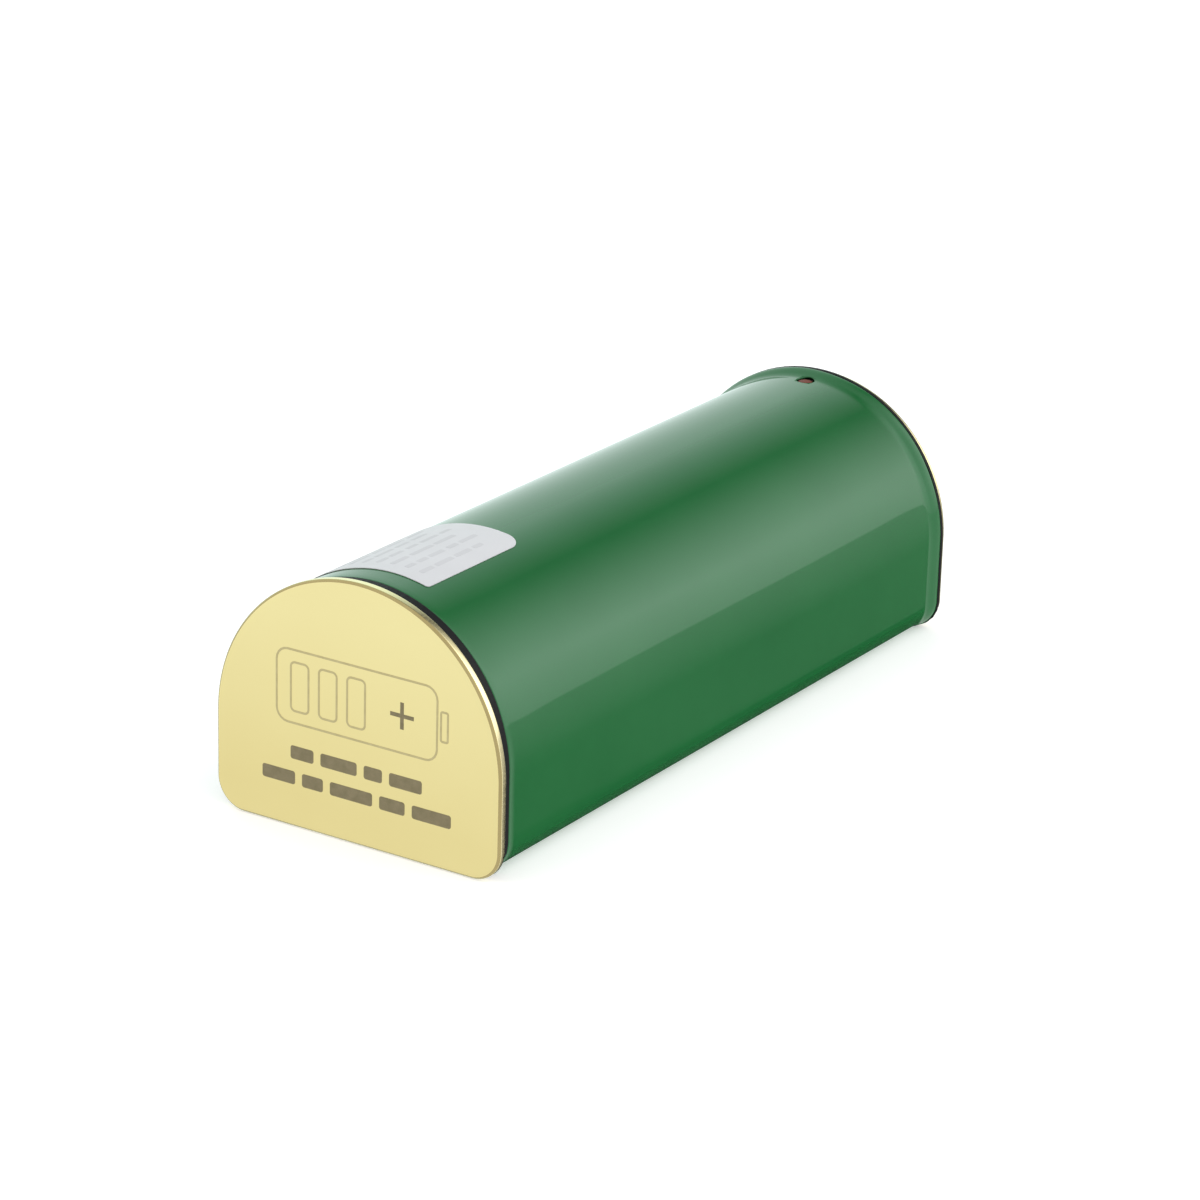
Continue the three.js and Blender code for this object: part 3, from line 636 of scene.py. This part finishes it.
HEAD_HEIGHT = 1.45 * MM
STEM_RADIUS = 0.4 * MM
POPPET_EDGE = 0.1 * MM
STEM_TIP_SHARE, HEAD_SEAT_SHARE = 0.8, 0.93  # of the radius, where an edge is broken
DOME_BASE = 0.42 * MM  # below the top
DOME_RISE = 0.40 * MM
DOME_STEPS = 8


def add_poppet(rubber):
    radius, low, top = VALVE_HIGH.x, VALVE_LOW.z, VALVE_HIGH.z
    head_low, dome_low = top - HEAD_HEIGHT, top - DOME_BASE
    profile = [(0, low), (STEM_RADIUS * STEM_TIP_SHARE, low), (STEM_RADIUS, low + POPPET_EDGE)]
    profile += [(STEM_RADIUS, head_low), (radius * HEAD_SEAT_SHARE, head_low)]
    profile += [(radius, head_low + POPPET_EDGE), (radius, dome_low)]
    for i in range(1, DOME_STEPS):
        a = math.radians(90 * i / DOME_STEPS)
        profile.append((radius * math.cos(a), dome_low + DOME_RISE * math.sin(a)))
    profile.append((0, dome_low + DOME_RISE))
    poppet = turned("valve_poppet_head", VALVE_Y, profile, rubber)
    finish_piece(poppet, "valve", "valve_silicone", "valve_poppet")


SPRING_WIRE = 0.09 * MM
SPRING_TURNS = 4
STEPS_PER_TURN = 40
WIRE_SIDES = 10


def add_spring(steel):
    """The coil under the seat."""
    low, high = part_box("valve_spring")
    coil_radius = high.x - SPRING_WIRE
    bottom, top = low.z + SPRING_WIRE, high.z - SPRING_WIRE
    steps = SPRING_TURNS * STEPS_PER_TURN
    loops = []
    for i in range(steps + 1):
        a = math.radians(360 * i / STEPS_PER_TURN)
        height = bottom + (top - bottom) * i / steps
        wire = arc(coil_radius, height, SPRING_WIRE, 0, 360, WIRE_SIDES)[:-1]
        loops.append([(out * math.cos(a), VALVE_Y + out * math.sin(a), z) for out, z in wire])
    spring = loft("valve_coil", loops, steel, flip=True)
    finish_piece(spring, "pack", "screw_steel", "valve_spring")
    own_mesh(spring)


# ---- CAD nodes that are shown as they are ----
NODE_BEVEL = 0.12 * MM
FINE_BEVEL = 0.03 * MM


def finishes():
    """A material for each kind of CAD node, by a part of its name. The first match counts."""
    plastic = {"grain": 2200, "patch": 150, "bump": 0.15, "bump_depth": 0.01}
    metal = {"metallic": 1.0, "grain": 2600, "patch": 120, "bump": 0.08, "bump_depth": 0.01}
    return {
        "bulkhead": material("black_plastic", (0.010, 0.011, 0.011), (0.006, 0.006, 0.007),
                             (0.45, 0.6), Specular_IOR_Level=0.15, **plastic),
        "seal": material("seal_rubber", (0.030, 0.030, 0.031), (0.022, 0.022, 0.022),
                         (0.6, 0.8), **plastic),
        "housing_tube": material("drawn_aluminium", (0.62, 0.63, 0.64), (0.55, 0.56, 0.58),
                                 (0.28, 0.42), stretch=(1, 0.05, 1), **metal),
        "screw": material("screw_steel", (0.56, 0.57, 0.58), (0.48, 0.49, 0.50),
                          (0.24, 0.36), **metal),
        "stud": material("stud_brass", (0.78, 0.60, 0.27), (0.68, 0.51, 0.22), (0.22, 0.34), **metal),
        "can": material("can_steel", (0.60, 0.61, 0.62), (0.54, 0.55, 0.56), (0.20, 0.30), **metal),
        "core": material("wound_core", (0.060, 0.050, 0.044), (0.040, 0.034, 0.030),
                         (0.6, 0.8), **plastic),
        "cap": material("cap_nickel", (0.68, 0.66, 0.60), (0.60, 0.58, 0.53),
                        (0.20, 0.32), **metal),
        "wrap": material("cell_wrap", (0.030, 0.115, 0.33), (0.024, 0.095, 0.28),
                         (0.25, 0.38), **plastic),
        "holder": material("holder_plastic", (0.74, 0.71, 0.62), (0.68, 0.65, 0.57),
                           (0.45, 0.6), **plastic),
        "strip": material("strip_nickel", (0.66, 0.64, 0.58), (0.57, 0.55, 0.50),
                          (0.22, 0.36), **metal),
        "insulator": material("fish_paper", (0.24, 0.36, 0.21), (0.20, 0.31, 0.18),
                              (0.75, 0.9), **plastic),
        "board": material("board_laminate", (0.020, 0.110, 0.045), (0.014, 0.085, 0.034),
                          (0.32, 0.46), **plastic),
        "chip": material("chip_plastic", (0.018, 0.018, 0.020), (0.012, 0.012, 0.013),
                         (0.45, 0.6), **plastic),
        "negative_lead": material("lead_black", (0.020, 0.020, 0.020), (0.013, 0.013, 0.013), (0.4, 0.55),
                                  **plastic),
        "midpoint_lead": material("lead_yellow", (0.70, 0.48, 0.050), (0.62, 0.42, 0.040), (0.4, 0.55),
                                  **plastic),
        "sense_lead": material("lead_red", (0.48, 0.035, 0.025), (0.40, 0.028, 0.020),
                               (0.4, 0.55), **plastic),
        "valve_seat": material("seat_brass", (0.76, 0.58, 0.26), (0.66, 0.50, 0.21),
                               (0.25, 0.38), **metal),
        "valve_": material("spring_steel", (0.54, 0.55, 0.56), (0.45, 0.46, 0.47),
                           (0.25, 0.38), **metal),
    }


def dress_frame():
    """Gives the CAD nodes their procedural finishes, and the moulded ones a small edge radius. The sleeve,
    label and plates, which finer pieces replace, are skipped. Returns the finishes."""
    by_kind = finishes()
    for name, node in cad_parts.items():
        kind = next((kind for kind in by_kind if kind in name), None)
        if kind is None:
            continue
        node.data.materials.clear()
        node.data.materials.append(by_kind[kind])
        if kind in ("bulkhead", "holder", "board", "chip", "seal"):
            edge = node.modifiers.new("edge", "BEVEL")
            edge.width = NODE_BEVEL if kind in ("bulkhead", "holder") else FINE_BEVEL
            edge.segments = 2
            edge.limit_method = "ANGLE"
            edge.angle_limit = math.radians(40)
    return by_kind


# ---- studio ----
FLOOR_HALF = 6.0
FLOOR_CELLS = 24
FLOOR_DROP = 0.02 * MM  # just under the pack, so that the two don't share a plane
FLOOR_GLOW = 0.35
GAP = 0.10
COOL = (0.96, 1.10, 1.07)
LEFT_PANEL = 1.08
RIGHT_PANEL = 2.2
RIGHT_PANEL_RISE = 1.5
HORIZON_SHARE = 0.62  # of the right panel's light, at the horizon
TABLE_EDGE, TABLE_NEAR = 0.72, 0.16  # the right table's light at the horizon and low down
TABLE_FOOT = 0.04  # of the table's light, where the pack stands on it


def add_floor():
    vertices, faces = [], []
    for j in range(FLOOR_CELLS + 1):
        for i in range(FLOOR_CELLS + 1):
            place = (FLOOR_HALF * (2 * i / FLOOR_CELLS - 1), FLOOR_HALF * (2 * j / FLOOR_CELLS - 1), 0.0)
            vertices.append(place)
    for j in range(FLOOR_CELLS):
        for i in range(FLOOR_CELLS):
            a = j * (FLOOR_CELLS + 1) + i
            faces.append((a, a + 1, a + FLOOR_CELLS + 2, a + FLOOR_CELLS + 1))
    pale = material("pale_floor", (0.93, 0.93, 0.93), (0.92, 0.92, 0.92), (0.8, 0.9), grain=200, patch=3,
                    bump=0.0, Emission_Color=(1, 1, 1, 1), Emission_Strength=FLOOR_GLOW)
    floor = new_object("studio_floor", vertices, faces, pale)
    floor.location.z = -FLOOR_DROP
    floor.visible_glossy = False


def add_world():
    """Soft panels as radiance by direction: a bright one behind to the right, a milder one to the left, a
    dim gap straight behind between them, and a table that darkens below the horizon on the right. Straight
    to the camera the world is plain white."""
    world = bpy.data.worlds.new("studio")
    bpy.context.scene.world = world
    world.use_nodes = True
    tree = world.node_tree
    background = tree.nodes["Background"]
    split = tree.nodes.new("ShaderNodeSeparateXYZ")
    tree.links.new(tree.nodes.new("ShaderNodeTexCoord").outputs["Generated"], split.inputs[0])
    x, y, z = split.outputs

    def between(value, start, stop, low, high):
        return remap(tree, value, low, high, start, stop)

    lift = tree.nodes.new("ShaderNodeMath")
    lift.operation = "POWER"
    tree.links.new(between(x, 0, 0.53, 0, 1), lift.inputs[0])
    lift.inputs[1].default_value = RIGHT_PANEL_RISE
    right = between(lift.outputs[0], 0, 1, GAP, RIGHT_PANEL)
    right = multiply(tree, right, between(z, 0, 0.28, HORIZON_SHARE, 1))
    left = between(x, -0.42, 0, LEFT_PANEL, GAP)
    behind = mix_values(tree, between(x, -0.001, 0.001, 0, 1), left, right)
    ahead = between(y, -0.2, 0.3, 0, 1)
    above = mix_values(tree, ahead, 1.0, behind)
    right_table = between(z, -0.345, 0, TABLE_NEAR, TABLE_EDGE)
    table = mix_values(tree, between(x, -0.15, 0.25, 0, 1), LEFT_PANEL, right_table)
    table = multiply(tree, table, between(z, -0.42, -0.37, TABLE_FOOT, 1))
    below = mix_values(tree, between(y, 0.70, 0.76, 0, 1), 1.0, table)
    studio = mix_values(tree, between(z, -0.002, 0.002, 0, 1), below, above)
    camera_ray = tree.nodes.new("ShaderNodeLightPath").outputs["Is Camera Ray"]
    tree.links.new(mix_values(tree, camera_ray, studio, 1.0), background.inputs["Strength"])
    cool_side = multiply(tree, between(x, -0.05, -0.2, 0, 1), ahead)
    cool_side = multiply(tree, cool_side, between(camera_ray, 0, 1, 1, 0))
    tree.links.new(mix_colours(tree, cool_side, (1, 1, 1), COOL), background.inputs["Color"])


def main():
    add_camera()
    scene = bpy.context.scene
    scene.view_settings.view_transform = "Standard"
    add_world()
    add_floor()
    green = material("green_film", (0.017, 0.129, 0.038), (0.014, 0.119, 0.034), (0.04, 0.08), grain=900,
                     patch=45, bump=0.03, bump_depth=0.01, Specular_Tint=(0.80, 1.0, 0.90, 1))
    paper = material("satin_paper", (0.67, 0.665, 0.69), (0.64, 0.635, 0.66), (0.36, 0.46), grain=2500,
                     patch=120, bump=0.12, bump_depth=0.01)
    print_grey = material("grey_print", (0.61, 0.605, 0.63), (0.58, 0.575, 0.60), (0.45, 0.6), grain=4000,
                          bump=0.1)
    # the plates' faces are painted lighter towards their tops: painted light standing in for the brighter
    # reflection up there
    face_gold = material("satin_gold_painted_top_light", (0.93, 0.84, 0.42), (0.82, 0.71, 0.32), (0.30, 0.34), metallic=1.0,
                         grain=3000, patch=35, stretch=(0.1, 1, 1), bump=0.015, bump_depth=0.01,
                         height=(0.006, 0.038))
    # the chamfer is painted a darker brown gold: painted shade for the dark line along the face's edge
    shaded_chamfer_gold = material("chamfer_gold_painted_shade", (0.50, 0.41, 0.19), (0.42, 0.34, 0.15), (0.22, 0.32), metallic=1.0,
                         grain=2500, patch=80, bump=0.05, bump_depth=0.01)
    rim_gold = material("rim_gold", (0.92, 0.84, 0.50), (0.88, 0.79, 0.44), (0.18, 0.28), metallic=1.0,
                        grain=2500, patch=60, stretch=(1, 0.1, 1), bump=0.05, bump_depth=0.01)
    faint = material("faint_etch", (0.58, 0.51, 0.27), (0.52, 0.45, 0.23), (0.4, 0.5), metallic=0.8,
                     grain=5000, patch=700, bump=0.1, bump_depth=0.005)
    etched = material("etched_brown", (0.20, 0.17, 0.09), (0.25, 0.21, 0.12), (0.5, 0.7), metallic=0.4,
                      grain=5000, patch=700, bump=0.2, bump_depth=0.005)
    rubber = material("red_brown_silicone", (0.17, 0.040, 0.026), (0.14, 0.033, 0.021), (0.45, 0.6),
                      grain=3000, patch=400, bump=0.15, bump_depth=0.01, Specular_IOR_Level=0.3)
    by_kind = dress_frame()
    add_sleeve(green)
    add_label(paper, print_grey)
    add_plate("front_plate", "front_end_plate", -1, PLATE_CORNER, face_gold, shaded_chamfer_gold, rim_gold)
    add_plate("rear_plate", "rear_end_plate", 1, REAR_CORNER, face_gold, shaded_chamfer_gold, rim_gold)
    add_mark(faint, etched)
    add_poppet(rubber)
    add_spring(by_kind["valve_"])


main()
